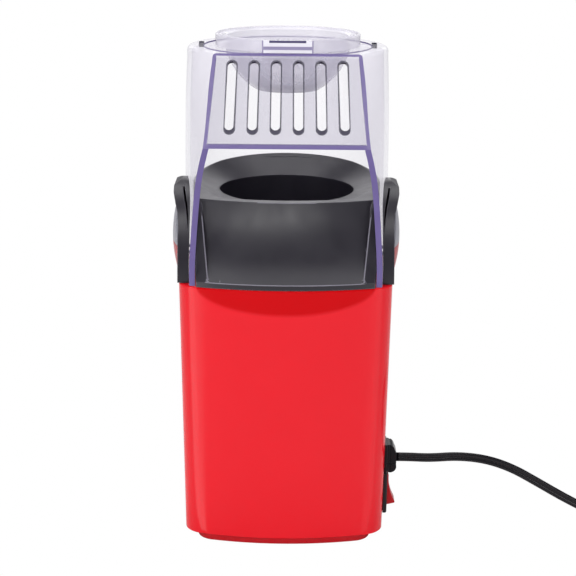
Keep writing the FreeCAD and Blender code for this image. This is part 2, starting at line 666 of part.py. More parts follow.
# ---- chamber, heater and hot-air sleeve ---------------------------------------------------------
def build_chamber():
    """Aluminium cup with a raised floor, slanted air slits low in its wall and a four-eared flange."""
    t = 0.8
    r = CHAMBER_R
    low = CHAMBER_FLOOR
    flange_z = CHAMBER_TOP - 1.0
    body = turned([
        (0, low + 5), (10, low + 3.6), (20, low), (r - 7, low), (r - 2, low + 2), (r + t, low + 7),
        (r + t, flange_z), (FLANGE_R, flange_z), (FLANGE_R, CHAMBER_TOP), (r, CHAMBER_TOP),
        (r, low + 7.4), (r - 2.4, low + 2.9), (r - 7.2, low + t), (20, low + t), (10, low + 4.4),
        (0, low + 5.8),
    ])
    ear = box(FLANGE_R - 2, CHAMBER_BOSS_R, -3.4, 3.4, flange_z, CHAMBER_TOP)
    ear = ear.fuse(rod(3.4, V(CHAMBER_BOSS_R, 0, flange_z), 1.0))
    body = fused([body] + ring_of(ear, 4, 45.0))
    slit = box(r - 4, r + 4, -0.9, 0.9, -6, 6)
    slit.rotate(V(r, 0, 0), V(1, 0, 0), 28)
    slit.translate(V(0, 0, low + 16))
    holes = ring_of(slit, 18)
    holes += ring_of(rod(1.4, V(CHAMBER_BOSS_R, 0, CHAMBER_TOP - 3), 6), 4, 45.0)
    return body.cut(holes)


def build_sleeve():
    """Sheet sleeve that leads the hot air from the fan round the chamber."""
    return tube(SLEEVE_R, SLEEVE_R - SLEEVE_T, FAN_Z + 16, CHAMBER_TOP - 1.0)


HEATER_Z = 84.0
HEATER_RINGS = [16.0, 24.0, 32.0, 39.5]


def build_heater_frame():
    """Two crossed mica boards that carry the resistance wire under the chamber."""
    half = SLEEVE_R - SLEEVE_T - 0.2
    board = box(-half, half, -0.5, 0.5, HEATER_Z - 7, HEATER_Z + 8)
    frame = board.fuse(box(-0.5, 0.5, -half, half, HEATER_Z - 7, HEATER_Z + 8))
    notches = [Part.makeTorus(r, 1.25, V(0, 0, HEATER_Z)) for r in HEATER_RINGS]
    return largest(frame.cut(notches))


def build_heater_wire():
    return [Part.makeTorus(r, 1.0, V(0, 0, HEATER_Z)) for r in HEATER_RINGS]


def build_thermostat():
    """Snap-disc thermostat clipped on the back of the sleeve, with two tabs."""
    seat_y = SLEEVE_R
    disc = rod(7.0, V(0, seat_y + 0.1, 120), 5.0, V(0, 1, 0))
    cap = rod(4.6, V(0, seat_y + 5.1, 120), 2.2, V(0, 1, 0))
    tabs = [box(s * 7.5 - 2.5, s * 7.5 + 2.5, seat_y + 2.2, seat_y + 3.0, 112.5, 127.5) for s in (-1, 1)]
    return fused([disc, cap] + tabs)


def build_fuse():
    body = rod(1.9, V(-13, SLEEVE_R + 0.9, 98), 11)
    leads = rod(0.4, V(-13, SLEEVE_R + 0.9, 90), 27)
    return body.fuse(leads)


# ---- fan and motor ------------------------------------------------------------------------------
FAN_WALL_R = 44.0
MOTOR_R = 13.8
MOTOR_FOOT, MOTOR_TOP = 16.0, 42.0


def build_fan_housing():
    floor = rod(53.2, V(0, 0, FAN_Z), 2.2)
    wall = tube(FAN_WALL_R, FAN_WALL_R - 2.0, FAN_Z, 68)
    body = fused([floor, wall])
    cuts = [rod(INTAKE_R, V(0, 0, FAN_Z - 1), 4)]
    cuts += [rod(1.4, V(x, y, FAN_Z - 1), 4) for x, y in fan_post_places()]
    cuts += ring_of(rod(1.0, V(32.0, 0, FAN_Z - 1), 4), 3, 90.0)
    return body.cut(cuts)


def build_motor_bracket():
    collar = tube(MOTOR_R + 1.8, MOTOR_R + 0.02, 36, FAN_Z - 2)
    arm = box(MOTOR_R + 0.6, 34.5, -3.2, 3.2, FAN_Z - 3.0, FAN_Z)
    arms = ring_of(arm, 3, 90.0)
    body = fused([collar] + arms)
    return body.cut(ring_of(rod(1.0, V(32.0, 0, FAN_Z - 5), 7), 3, 90.0))


def build_motor():
    can = tube(MOTOR_R, MOTOR_R - 1.0, MOTOR_FOOT, MOTOR_TOP)
    lid = tube(MOTOR_R, 3.0, MOTOR_TOP, MOTOR_TOP + 1.0)
    end_cap = tube(MOTOR_R, 3.0, MOTOR_FOOT - 3.0, MOTOR_FOOT)
    magnet = tube(MOTOR_R - 1.0, MOTOR_R - 3.4, MOTOR_FOOT + 6, MOTOR_TOP - 3)
    gap_box = box(-20, 20, -3.5, 3.5, 0, 60)
    magnets = magnet.cut(gap_box).Solids
    bushes = [tube(3.0, SHAFT_R + 0.03, z, z + 3.0) for z in (MOTOR_TOP - 1.0, MOTOR_FOOT - 3.0)]
    return fused([can, lid]), end_cap, magnets, bushes


def build_armature():
    core = rod(MOTOR_R - 4.2, V(0, 0, MOTOR_FOOT + 8), 13.0)
    slot = box(4.2, 12, -1.4, 1.4, MOTOR_FOOT, MOTOR_TOP)
    core = core.cut(ring_of(slot, 3))
    return core.cut(rod(SHAFT_R, V(0, 0, 0), 60))


def build_commutator():
    return tube(2.6, SHAFT_R, MOTOR_FOOT + 1.0, MOTOR_FOOT + 7.0)


def build_brushes():
    brushes = []
    for sign in (-1, 1):
        inner, outer = sorted((sign * 2.9, sign * 7.5))
        brushes.append(box(inner, outer, -1.4, 1.4, MOTOR_FOOT + 0.1, MOTOR_FOOT + 3.6))
    return brushes


IMPELLER_TOP = 66.0
BLADES = 16


def build_impeller():
    plate = tube(38.0, SHAFT_R, IMPELLER_TOP - 1.6, IMPELLER_TOP)
    hub = tube(5.0, SHAFT_R, 50, IMPELLER_TOP)
    blade = box(20, 37.6, -0.7, 0.7, 49, IMPELLER_TOP - 1)
    blade.rotate(V(20, 0, 0), V(0, 0, 1), 24)
    ring = tube(38.0, 33.0, 48, 49.4)
    return fused([plate, hub, ring] + [b.common(tube(38.0, 18.0, 48, 66)) for b in ring_of(blade, BLADES)])


def build_shaft():
    return rod(SHAFT_R, V(0, 0, 12.0), 58.0)


def build_fan_nut():
    hexagon = polygon([V(3.2 * math.cos(math.radians(a)), 3.2 * math.sin(math.radians(a)), 0)
                       for a in range(0, 360, 60)])
    hexagon.translate(V(0, 0, IMPELLER_TOP))
    return solid_between(hexagon, V(0, 0, 2.4)).cut(rod(SHAFT_R, V(0, 0, 60), 20))


# ---- electrics ----------------------------------------------------------------------------------
def build_rectifier():
    board = box(-14, 14, 32, 44, BASE_TOP + 4.0, BASE_TOP + 5.6)
    board = board.cut([rod(1.0, V(x, 38.0, 5), 12) for x in (-10, 10)])
    z = BASE_TOP + 5.6 + 1.3
    diodes = [rod(1.2, V(x, 34.6, z), 5.0, V(0, 1, 0)) for x in (-4.5, -1.5, 1.5, 4.5)]
    return board, diodes


def build_terminal_block():
    block = box(-30, -6, -60, -50, BASE_TOP, BASE_TOP + 9)
    wells = [rod(2.0, V(x, -55, BASE_TOP + 4), 6) for x in (-26, -18, -10)]
    ports = [rod(1.5, V(x, -61, BASE_TOP + 3.4), 12, V(0, 1, 0)) for x in (-26, -18, -10)]
    return block.cut(wells + ports)


def build_switch():
    """Rocker switch: flange and barrel in one, with a pocket for the rocker."""
    flange = box(SWITCH_X, SWITCH_X + 2.4, SWITCH_Y - 7.6, SWITCH_Y + 7.6, SWITCH_Z - 12.5, SWITCH_Z + 12.5)
    flange = eased(flange, 1.0, lambda e: min(v.X for v in e.Vertexes) > SWITCH_X + 2.3)
    barrel = box(SWITCH_X - 17, SWITCH_X, SWITCH_Y - 6.3, SWITCH_Y + 6.3, SWITCH_Z - 11.7, SWITCH_Z + 11.7)
    pocket = box(SWITCH_X - 10, SWITCH_X + 4, SWITCH_Y - 5.15, SWITCH_Y + 5.15,
                 SWITCH_Z - 11.0, SWITCH_Z + 11.0)
    bores = rod(1.3, V(PIVOT_X, SWITCH_Y - 5.9, SWITCH_Z), 11.8, V(0, 1, 0))
    body = fused([flange, barrel]).cut([pocket, bores])
    tabs = [box(SWITCH_X - 25, SWITCH_X - 17, SWITCH_Y - 2.4, SWITCH_Y + 2.4, SWITCH_Z + z - 0.4,
                SWITCH_Z + z + 0.4) for z in (-8, 0, 8)]
    pin = rod(1.3, V(PIVOT_X, SWITCH_Y - 5.9, SWITCH_Z), 11.8, V(0, 1, 0))
    return body, tabs, pin


def build_rocker():
    """Rocker at rest: its lower end stands out of the bezel."""
    reach, end, half_w = 8.7, 9.3, 4.85
    wire = Part.Wire([
        arc(V(reach, 0, end), V(reach - 1.3, 0, 0), V(reach, 0, -end)),
        line(V(reach, 0, -end), V(-2.0, 0, -end)),
        line(V(-2.0, 0, -end), V(-4.5, 0, -4.0)),
        line(V(-4.5, 0, -4.0), V(-4.5, 0, 4.0)),
        line(V(-4.5, 0, 4.0), V(-2.0, 0, end)),
        line(V(-2.0, 0, end), V(reach, 0, end)),
    ])
    wire.translate(V(0, -half_w, 0))
    body = solid_between(wire, V(0, 2 * half_w, 0))
    body = eased(body, 0.6, lambda e: min(v.X for v in e.Vertexes) > reach - 0.01)
    body = body.cut(rod(1.35, V(0, -10, 0), 20, V(0, 1, 0)))
    body.rotate(V(0, 0, 0), V(0, 1, 0), -ROCKER_TILT)
    body.translate(V(PIVOT_X, SWITCH_Y, SWITCH_Z))
    return body


GUARD_LOW, GUARD_TOP = 37.6, 55.5


def build_cord_guard():
    """Moulded outlet on the right wall: plate, upright block, chamfered head and round foot."""
    x0 = SWITCH_X + 0.3
    plate = box(x0, x0 + 1.6, SWITCH_Y - 7.2, SWITCH_Y + 7.2, GUARD_LOW + 0.4, GUARD_TOP)
    profile = Part.Wire([
        line(V(x0, 0, GUARD_LOW + 2.6), V(x0, 0, GUARD_TOP - 0.5)),
        line(V(x0, 0, GUARD_TOP - 0.5), V(x0 + 2.6, 0, GUARD_TOP - 0.5)),
        arc(V(x0 + 2.6, 0, GUARD_TOP - 0.5), V(x0 + 5.0, 0, GUARD_TOP - 1.6), V(x0 + 6.2, 0, GUARD_TOP - 3.8)),
        line(V(x0 + 6.2, 0, GUARD_TOP - 3.8), V(CORD_EXIT.x, 0, CORD_EXIT.z + 4.6)),
        line(V(CORD_EXIT.x, 0, CORD_EXIT.z + 4.6), V(CORD_EXIT.x, 0, CORD_EXIT.z - 3.2)),
        arc(V(CORD_EXIT.x, 0, CORD_EXIT.z - 3.2), V(CORD_EXIT.x - 1.2, 0, GUARD_LOW + 0.7),
            V(CORD_EXIT.x - 4.6, 0, GUARD_LOW)),
        line(V(CORD_EXIT.x - 4.6, 0, GUARD_LOW), V(x0, 0, GUARD_LOW + 2.6)),
    ])
    profile.translate(V(0, SWITCH_Y - 5.6, 0))
    block = solid_between(profile, V(0, 11.2, 0))
    grooves = []
    for sign in (-1, 1):
        y = SWITCH_Y + sign * 5.6
        grooves.append(box(x0 + 3.0, x0 + 4.0, y - 0.8, y + 0.8, GUARD_LOW, GUARD_TOP + 1))
    grooves.append(box(x0 + 1.6, CORD_EXIT.x + 1, SWITCH_Y - 8, SWITCH_Y - 4.9,
                       GUARD_LOW + 5.0, GUARD_LOW + 5.9))
    stem = rod(4.0, V(SWITCH_X - 8, SWITCH_Y, CORD_EXIT.z), 9, V(1, 0, 0))
    body = fused([plate, block.cut(grooves), stem])
    return body


def build_cord_clamp():
    """Inner end of the outlet: a nut-like clamp that holds the flex behind the wall."""
    clamp = box(44.5, 50.9, SWITCH_Y - 6.5, SWITCH_Y + 6.5, CORD_EXIT.z - 5, CORD_EXIT.z + 5)
    return clamp


# ---- paths of round section ---------------------------------------------------------------------
def path_wire(points, report=None):
    """Straight runs joined by tangent arcs, each as large as its two runs allow."""
    edges = []
    here = points[0]
    radii = []
    for before, at, after in zip(points, points[1:], points[2:]):
        to_prev = before - at
        to_next = after - at
        run = min(to_prev.Length, to_next.Length)
        to_prev.normalize()
        to_next.normalize()
        turn = math.pi - to_prev.getAngle(to_next)
        setback = 0.45 * run
        radius = setback / math.tan(turn / 2)
        start = at + to_prev * setback
        end = at + to_next * setback
        inward = to_prev + to_next
        inward.normalize()
        middle = at + inward * (radius / math.cos(turn / 2) - radius)
        edges.append(line(here, start))
        edges.append(arc(start, middle, end))
        here = end
        radii.append(radius)
    edges.append(line(here, points[-1]))
    if report:
        print(report, "radii", [round(r, 1) for r in radii])
    return Part.Wire(edges)


def swept(points, radius, report=None):
    wire = path_wire(points, report)
    start = points[0]
    direction = points[1] - points[0]
    circle = Part.Wire([Part.Circle(start, direction, radius).toShape()])
    body = wire.makePipeShell([circle], True, True)
    if report:
        want = math.pi * radius ** 2 * wire.Length
        print(report, "length", round(wire.Length, 1), "volume ratio", round(body.Volume / want, 4))
    return body


def build_wires():
    """Inner leads: clamp to switch, switch to terminal block, block to rectifier and thermostat."""
    r = 1.0
    left = SWITCH_X - 26.2
    leads = [
        [V(44.3, SWITCH_Y + 2, 46), V(38, SWITCH_Y + 2, 44), V(32, SWITCH_Y, 38), V(left, SWITCH_Y, SWITCH_Z + 8)],
        [V(left, SWITCH_Y, SWITCH_Z), V(24, -50, 20), V(11, -56, 16), V(-1, -61.4, 12), V(-9, -62.8, 10)],
        [V(-26, -48.8, 10), V(-25, -40, 14), V(-23, -24, 15), V(-24, -4, 15.4), V(-25, 14, 15),
         V(-19, 27, 14.5), V(-12, 36, 13.4)],
    ]
    return [swept(points, r) for points in leads]


# ---- power cord ---------------------------------------------------------------------------------
CORD_R = CORD_D / 2
CORD_ROUTE = [
    CORD_EXIT, V(74.0, SWITCH_Y, CORD_EXIT.z), V(87.0, SWITCH_Y, 44.6), V(103.0, -47.0, 46.0),
    V(120.0, -46.9, 44.2), V(136.0, -46.7, 38.6), V(152.0, -46.3, 29.2), V(168.0, -45.5, 19.4),
    V(184.0, -44.0, 10.4), V(200.0, -41.2, 4.6), V(217.0, -37.6, CORD_R + 0.05),
    V(235.0, -36.0, CORD_R + 0.05),
]
COIL_OUT_R = COIL_MID_R + CORD_D + 0.2
COIL_IN_R = COIL_MID_R - CORD_D - 0.2
COIL_H = 2 * CORD_D + 0.2
PLUG_FOOT = V(270.2, 37.0, 8.0)
PLUG_NECK = 20.0         # length of the plug's tapered strain relief
END_ROUTE = [
    V(268.75, -2.25, CORD_D * 1.5), V(268.9, 10.0, 8.2), V(270.2, 23.0, 8.0), PLUG_FOOT,
]


def build_coil():
    ring = tube(COIL_OUT_R, COIL_IN_R, 0.0, COIL_H)
    ring = eased(ring, 2.0, lambda e: True)
    ring.translate(COIL_CENTRE)
    return ring


def build_tie():
    """Twist tie round the coil, on the side away from the entry."""
    r_mid = COIL_MID_R
    outer = box(r_mid - CORD_D - 1.2, r_mid + CORD_D + 1.2, -2.0, 2.0, -0.0, COIL_H + 1.0)
    inner = box(r_mid - CORD_D - 0.4, r_mid + CORD_D + 0.4, -3.0, 3.0, -1.0, COIL_H + 0.05)
    tie = outer.cut(inner)
    tie.rotate(V(0, 0, 0), V(0, 0, 1), 150)
    tie.translate(COIL_CENTRE)
    return tie


def tube_along_y(r_out, r_in, x, z, y, length):
    ring = rod(r_out, V(x, y, z), length, V(0, 1, 0))
    return ring.cut(rod(r_in, V(x, y - 1, z), length + 2, V(0, 1, 0)))


def build_plug():
    """Moulded two-blade plug lying on its flat side, its cord end towards -Y."""
    x, y0, z = PLUG_FOOT.x, PLUG_FOOT.y, PLUG_FOOT.z
    y1 = y0 + PLUG_NECK
    neck = Part.makeLoft([
        Part.Wire([Part.Circle(V(x, y0, z), V(0, 1, 0), 3.6).toShape()]),
        Part.Wire([Part.Circle(V(x, y1, z), V(0, 1, 0), 5.4).toShape()]),
    ], True, True)
    grip = box(x - 10.5, x + 10.5, y1 - 2, y1 + 20, 0.0, 16.0)
    grip = eased(grip, 4.0, lambda e: True)
    face = box(x - 12.0, x + 12.0, y1 + 16, y1 + 20.5, 0.0, 16.0)
    face = eased(face, 2.0, lambda e: abs(e.Vertexes[0].Y - e.Vertexes[-1].Y) > 3)
    rings = [tube_along_y(8.0, 4.6, x, z, y0 + 4.0 + 4.0 * i, 1.2) for i in range(3)]
    body = fused([neck, grip, face]).cut(rings)
    blades = []
    for sign in (-1, 1):
        bx = x + sign * 6.35
        blades.append(box(bx - 0.75, bx + 0.75, y1 + 20.5, y1 + 37.5, z - 3.2, z + 3.2))
    return body, blades


# ---- write every piece --------------------------------------------------------------------------
INNER_COVER = cover_body(COVER_T, ROOF_Z - COVER_T)

save("housing", build_housing())
save("base_plate", build_base_plate())
save("rubber_feet", *build_feet())
save("base_screws", *[screw(2.8, 1.6, 1.25, 12.0, V(x, y, BASE_FLOOR), V(0, 0, 1)) for x, y in BASE_SCREWS])
save("chute", build_chute())
save("chute_screws", *[screw(2.8, 1.6, 1.2, 9.0, V(x, y, RIM_Z - DECK), V(0, 0, 1)) for x, y in CHUTE_SCREWS])
save("popping_chamber", build_chamber())
save("chamber_screws", *ring_of(
    screw(2.6, 1.4, 1.1, 7.0, V(CHAMBER_BOSS_R, 0, CHAMBER_TOP - 1.0), V(0, 0, 1)), 4, 45.0))
save("hot_air_sleeve", build_sleeve())
save("heater_frame", build_heater_frame())
save("heater_wire", *build_heater_wire())
save("thermostat", build_thermostat())
save("thermal_fuse", build_fuse())
save("fan_housing", build_fan_housing())
save("fan_housing_screws", *[screw(2.4, 1.4, 1.1, 8.0, V(x, y, FAN_Z + 2.2), V(0, 0, -1))
                             for x, y in fan_post_places()])
save("motor_bracket", build_motor_bracket())
save("bracket_screws", *ring_of(
    screw(1.9, 1.1, 1.0, 4.6, V(32.0, 0, FAN_Z - 3.0), V(0, 0, 1)), 3, 90.0))
motor_can, motor_cap, motor_magnets, motor_bushes = build_motor()
save("motor_can", motor_can)
save("motor_end_cap", motor_cap)
save("motor_magnets", *motor_magnets)
save("motor_bushes", *motor_bushes)
save("motor_brushes", *build_brushes())
rectifier_board, rectifier_diodes = build_rectifier()
save("rectifier_board", rectifier_board)
save("rectifier_diodes", *rectifier_diodes)
save("terminal_block", build_terminal_block())
switch_body, switch_tabs, rocker_pin = build_switch()
save("switch_body", switch_body)
save("switch_terminals", *switch_tabs)
save("rocker_pin", rocker_pin)
save("rocker", build_rocker())
save("cord_guard", build_cord_guard())
save("cord_clamp", build_cord_clamp())
save("inner_leads", *build_wires())

save("motor_shaft", build_shaft())
save("armature", build_armature())
save("commutator", build_commutator())
save("fan_impeller", build_impeller())
save("fan_nut", build_fan_nut())

save("clear_cover", build_cover())
right_grip = build_right_grip()
save("right_grip", right_grip)
save("left_grip", mirrored(right_grip))
badge_upper, badge_lower = build_right_badge()
save("right_badge", badge_upper)
save("right_badge_inlay", badge_lower)
save("left_badge", mirrored(badge_upper))
save("left_badge_inlay", mirrored(badge_lower))
save("grip_screws", *(grip_screws(1) + grip_screws(-1)))
save("measuring_cup", build_cup())

coil = build_coil()
lead = largest(swept(CORD_ROUTE, CORD_R, "cord lead").cut(coil))
tail = largest(swept(END_ROUTE, CORD_R, "cord end").cut(coil))
save("power_cord", lead, tail)
save("cord_coil", coil)
save("cord_tie", build_tie())
plug_body, plug_blades = build_plug()
save("plug_body", plug_body)
save("plug_blades", *plug_blades)
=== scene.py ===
"""Looks of the hot-air popcorn maker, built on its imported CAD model. Metres, +Z up, front towards -Y."""
import json
import math

import bpy
from mathutils import Matrix, Vector


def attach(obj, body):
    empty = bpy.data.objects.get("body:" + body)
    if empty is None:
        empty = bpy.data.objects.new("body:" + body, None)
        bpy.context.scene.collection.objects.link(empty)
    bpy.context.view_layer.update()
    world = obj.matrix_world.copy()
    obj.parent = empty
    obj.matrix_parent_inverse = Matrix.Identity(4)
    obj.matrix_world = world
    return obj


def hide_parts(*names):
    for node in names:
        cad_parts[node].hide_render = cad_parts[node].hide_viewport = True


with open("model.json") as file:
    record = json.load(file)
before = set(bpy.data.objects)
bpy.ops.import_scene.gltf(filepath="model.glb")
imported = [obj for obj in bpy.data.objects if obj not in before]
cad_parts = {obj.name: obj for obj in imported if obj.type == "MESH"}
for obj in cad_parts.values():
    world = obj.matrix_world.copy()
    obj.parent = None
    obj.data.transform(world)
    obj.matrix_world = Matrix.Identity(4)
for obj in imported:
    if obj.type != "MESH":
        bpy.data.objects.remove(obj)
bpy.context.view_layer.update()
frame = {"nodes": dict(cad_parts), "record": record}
nodes = frame["nodes"]
MM = 0.001
AXIS_Y = 9.3             # the chamber axis lies this far behind the origin, in millimetres


def at(x, y, z):
    """A point given about the chamber axis in millimetres, in the row frame in metres."""
    return Vector((x, y + AXIS_Y, z)) * MM


# ---- camera -------------------------------------------------------------------------------------
CAMERA_PLACE = Vector((0.0013, -0.7987, 0.372))
CAMERA_PITCH = 16.3      # degrees below the horizon
CAMERA_ROLL = 0.5
LENS = 86.1


def build_camera():
    """The photo's view, a little from above and straight from the front."""
    data = bpy.data.cameras.new("camera")
    data.lens = LENS
    data.sensor_width = 36.0
    data.clip_start = 0.01
    camera = bpy.data.objects.new("camera", data)
    bpy.context.scene.collection.objects.link(camera)
    tilt = Matrix.Rotation(math.radians(90.0 - CAMERA_PITCH), 4, "X")
    roll = Matrix.Rotation(math.radians(CAMERA_ROLL), 4, "Z")
    camera.matrix_world = Matrix.Translation(CAMERA_PLACE) @ tilt @ roll
    bpy.context.scene.camera = camera


build_camera()


# ---- material building --------------------------------------------------------------------------
class Recipe:
    """One material and short ways to add nodes to it."""

    def __init__(self, name):
        self.material = bpy.data.materials.new(name)
        self.material.use_nodes = True
        self.tree = self.material.node_tree
        self.tree.nodes.clear()
        self.output = self.add("ShaderNodeOutputMaterial")
        self.shader = self.add("ShaderNodeBsdfPrincipled")
        self.join(self.shader.outputs[0], self.output.inputs["Surface"])
        self.place = self.add("ShaderNodeTexCoord").outputs["Object"]

    def add(self, kind, **settings):
        node = self.tree.nodes.new(kind)
        for key, value in settings.items():
            setattr(node, key, value)
        return node

    def join(self, source, target):
        self.tree.links.new(source, target)

    def feed(self, target, value):
        """Link a socket, or set a plain number or colour."""
        if isinstance(value, bpy.types.NodeSocket):
            self.join(value, target)
        else:
            target.default_value = value

    def math(self, kind, a, b=None, clamp=False):
        node = self.add("ShaderNodeMath", operation=kind, use_clamp=clamp)
        self.feed(node.inputs[0], a)
        if b is not None:
            self.feed(node.inputs[1], b)
        return node.outputs[0]

    def scaled(self, stretch):
        node = self.add("ShaderNodeMapping")
        node.inputs["Scale"].default_value = stretch
        self.join(self.place, node.inputs["Vector"])
        return node.outputs[0]

    def noise(self, scale, detail=3.0, stretch=None):
        node = self.add("ShaderNodeTexNoise")
        node.inputs["Scale"].default_value = scale
        node.inputs["Detail"].default_value = detail
        node.inputs["Roughness"].default_value = 0.55
        self.join(self.scaled(stretch) if stretch else self.place, node.inputs["Vector"])
        return node.outputs["Fac"]

    def spread(self, value, low, high, to_low=0.0, to_high=1.0, smooth=False):
        node = self.add("ShaderNodeMapRange", clamp=True)
        if smooth:
            node.interpolation_type = "SMOOTHSTEP"
        self.feed(node.inputs["Value"], value)
        for key, number in (("From Min", low), ("From Max", high), ("To Min", to_low), ("To Max", to_high)):
            node.inputs[key].default_value = number
        return node.outputs[0]

    def blend(self, share, first, second):
        """Mix two colours; a colour mix has them on sockets 6 and 7 and its result on output 2."""
        node = self.add("ShaderNodeMix", data_type="RGBA")
        self.feed(node.inputs["Factor"], share)
        self.feed(node.inputs[6], first)
        self.feed(node.inputs[7], second)
        return node.outputs[2]

    def lay(self, share, above):
        """Mix another shader over what the material shows so far, and hand back the mix."""
        below = self.output.inputs["Surface"].links[0].from_node
        mixed = self.add("ShaderNodeMixShader")
        self.feed(mixed.inputs[0], share)
        self.join(below.outputs[0], mixed.inputs[1])
        self.join(above.outputs[0], mixed.inputs[2])
        self.join(mixed.outputs[0], self.output.inputs["Surface"])
        return mixed

    def xyz(self):
        node = self.add("ShaderNodeSeparateXYZ")
        self.join(self.place, node.inputs[0])
        return node.outputs

    def edges(self, radius, gain):
        """1 along the piece's edges, 0 on its flats: where a rounded normal differs from the true one."""
        soft = self.add("ShaderNodeBevel", samples=4)
        soft.inputs["Radius"].default_value = radius
        true = self.add("ShaderNodeNewGeometry")
        dot = self.add("ShaderNodeVectorMath", operation="DOT_PRODUCT")
        self.join(soft.outputs[0], dot.inputs[0])
        self.join(true.outputs["True Normal"], dot.inputs[1])
        differ = self.math("SUBTRACT", 1.0, dot.outputs["Value"])
        return self.math("MULTIPLY", differ, gain, clamp=True)

    def relief(self, height, strength, distance, round_edges=None):
        """A bump, on normals that are rounded along sharp edges."""
        node = self.add("ShaderNodeBump")
        node.inputs["Strength"].default_value = strength
        node.inputs["Distance"].default_value = distance
        self.join(height, node.inputs["Height"])
        if round_edges:
            soft = self.add("ShaderNodeBevel", samples=4)
            soft.inputs["Radius"].default_value = round_edges
            self.join(soft.outputs[0], node.inputs["Normal"])
        self.join(node.outputs[0], self.shader.inputs["Normal"])

    def put(self, **values):
        """Set sockets of the main shader; words are joined by an underscore."""
        for key, value in values.items():
            self.feed(self.shader.inputs[key.replace("_", " ")], value)


def rgb(r, g, b):
    return (r, g, b, 1.0)


GRAIN_SCALE, GRAIN_DEPTH = 2600.0, 0.00012               # fine grain of moulded plastic
SCUFF_SCALE, SCUFF_STRETCH = 90.0, (1.0, 1.0, 0.25)      # upright scuffs


def moulded(name, colour, rough, grain, edge_colour=None, specular=0.5, edge_r=0.0005, edge_gain=1.6):
    """Moulded plastic: faint colour drift, uneven gloss, fine grain, and edges lighter as wear and as
    painted highlight.
    """
    r = Recipe(name)
    darker = rgb(*[c * 0.92 for c in colour])
    shade = r.blend(r.spread(r.noise(40.0, 2.0), 0.35, 0.65), darker, rgb(*colour))
    # lighter edges: partly wear, partly a painted highlight along the edges
    if edge_colour:
        patchy = r.spread(r.noise(220.0, 4.0), 0.3, 0.7, 0.35, 1.0)
        wear_and_highlight = r.math("MULTIPLY", r.edges(edge_r, edge_gain), patchy)
        shade = r.blend(wear_and_highlight, shade, rgb(*edge_colour))
    fine = r.noise(GRAIN_SCALE, 2.0)
    scuffs = r.noise(SCUFF_SCALE, 5.0, SCUFF_STRETCH)
    r.put(Base_Color=shade, Roughness=r.spread(scuffs, 0.3, 0.7, rough * 0.86, rough * 1.16))
    r.put(Specular_IOR_Level=specular)
    r.relief(fine, grain, GRAIN_DEPTH, edge_r)
    return r.material


def metal(name, colour, rough, stretch):
    """Bare metal with drawn or spun streaks."""
    r = Recipe(name)
    lines = r.noise(240.0, 4.0, stretch)
    shade = r.blend(lines, rgb(*[c * 0.82 for c in colour]), rgb(*colour))
    r.put(Base_Color=shade, Metallic=1.0, Roughness=r.spread(lines, 0.3, 0.7, rough * 0.8, rough * 1.3))
    r.relief(lines, 0.12, 0.0001, 0.0003)
    return r.material


def see_through(name, tint, haze_colour, haze, rim, rough=0.12, brushed=None):
    """Clear plastic: what is behind shows through, with more haze where it is seen edge-on."""
    r = Recipe(name)
    clear = r.add("ShaderNodeBsdfTransparent")
    clear.inputs["Color"].default_value = rgb(*tint)
    lean = r.add("ShaderNodeLayerWeight")
    lean.inputs["Blend"].default_value = 0.35
    cloud = r.spread(r.noise(30.0, 3.0), 0.3, 0.7, 0.9, 1.1)
    milky = r.math("MULTIPLY", cloud, haze)
    edge_on = r.math("MULTIPLY", lean.outputs["Facing"], rim)
    share = r.math("ADD", milky, edge_on, clamp=True)
    shade = r.blend(r.noise(55.0, 2.0), rgb(*[c * 0.94 for c in haze_colour]), rgb(*haze_colour))
    scratches = r.noise(140.0, 5.0, brushed or (1.0, 1.0, 0.3))
    r.put(Base_Color=shade, Roughness=r.spread(scratches, 0.3, 0.7, rough * 0.7, rough * 1.4))
    r.put(Specular_IOR_Level=0.6, Coat_Weight=0.3, Coat_Roughness=0.04)
    r.relief(scratches, 0.05, 0.0001)
    mixed = r.add("ShaderNodeMixShader")
    r.join(share, mixed.inputs[0])
    r.join(clear.outputs[0], mixed.inputs[1])
    r.join(r.shader.outputs[0], mixed.inputs[2])
    r.join(mixed.outputs[0], r.output.inputs["Surface"])
    return r


# ---- materials ----------------------------------------------------------------------------------
VIOLET = (0.150, 0.115, 0.300)           # light that comes out at the edges of the clear plastic
DARK_VIOLET = (0.045, 0.035, 0.120)
SLOT_LINE = (0.055, 0.050, 0.080)
CLEAR_TINT = (0.992, 0.988, 0.999)
PANEL_TINT = (0.892, 0.884, 0.915)
CUP_TINT = (0.965, 0.960, 0.980)
BRUSHED = (30.0, 1.0, 1.0)               # stretch that turns scratches into upright brushing

# Lengths and heights in metres.
PANEL_FOOT, PANEL_HEAD = 0.235, 0.283    # heights of the sloping panel's lower and upper edges
PANEL_RUN = 0.0557                       # length of the panel up its slope
PANEL_HALF = (0.0455, 0.0412)            # half its width, at the foot and at the roof
PANEL_BORDER = (0.0018, 0.0024)          # the violet border is full, and gone, this far from the edge
BORDER_TOP = 1.7                         # and this much narrower along the roof
SLOTS_A_SIDE = 3.0
SLOT_PITCH = (0.01265, 0.01215)          # between slots, at the foot and at the roof
SLOT_SPAN = (0.195, 0.915)               # where the slots start and end, as a share of the panel
SLOT_HALF = 0.00245
SLOT_RING = 0.0007                       # dark line round a slot
SLOT_SHADE = 0.0020                      # a slot's lower wall shows through the panel this far below it

BOWL_TOP = 0.2828                        # the cup's bowl lies below this, its rim above
LUG_FRONT = -0.0338                      # the cup's lug lies in front of this
LUG_FOOT, LUG_CREST = 0.2859, 0.2888     # heights of the violet line across it and of its dark top line
LUG_LINE = 0.0009                        # half the height of that violet line
LUG_FLANK, CREST_HALF = 0.0134, 0.0102   # the side lines start, and the top line ends, this far out
BOWL_HAZE = (0.2575, 0.2640)             # the grey haze in the bowl thins between these heights
BOWL_SHADE = (0.2580, 0.2800)            # and turns from dark to light between these

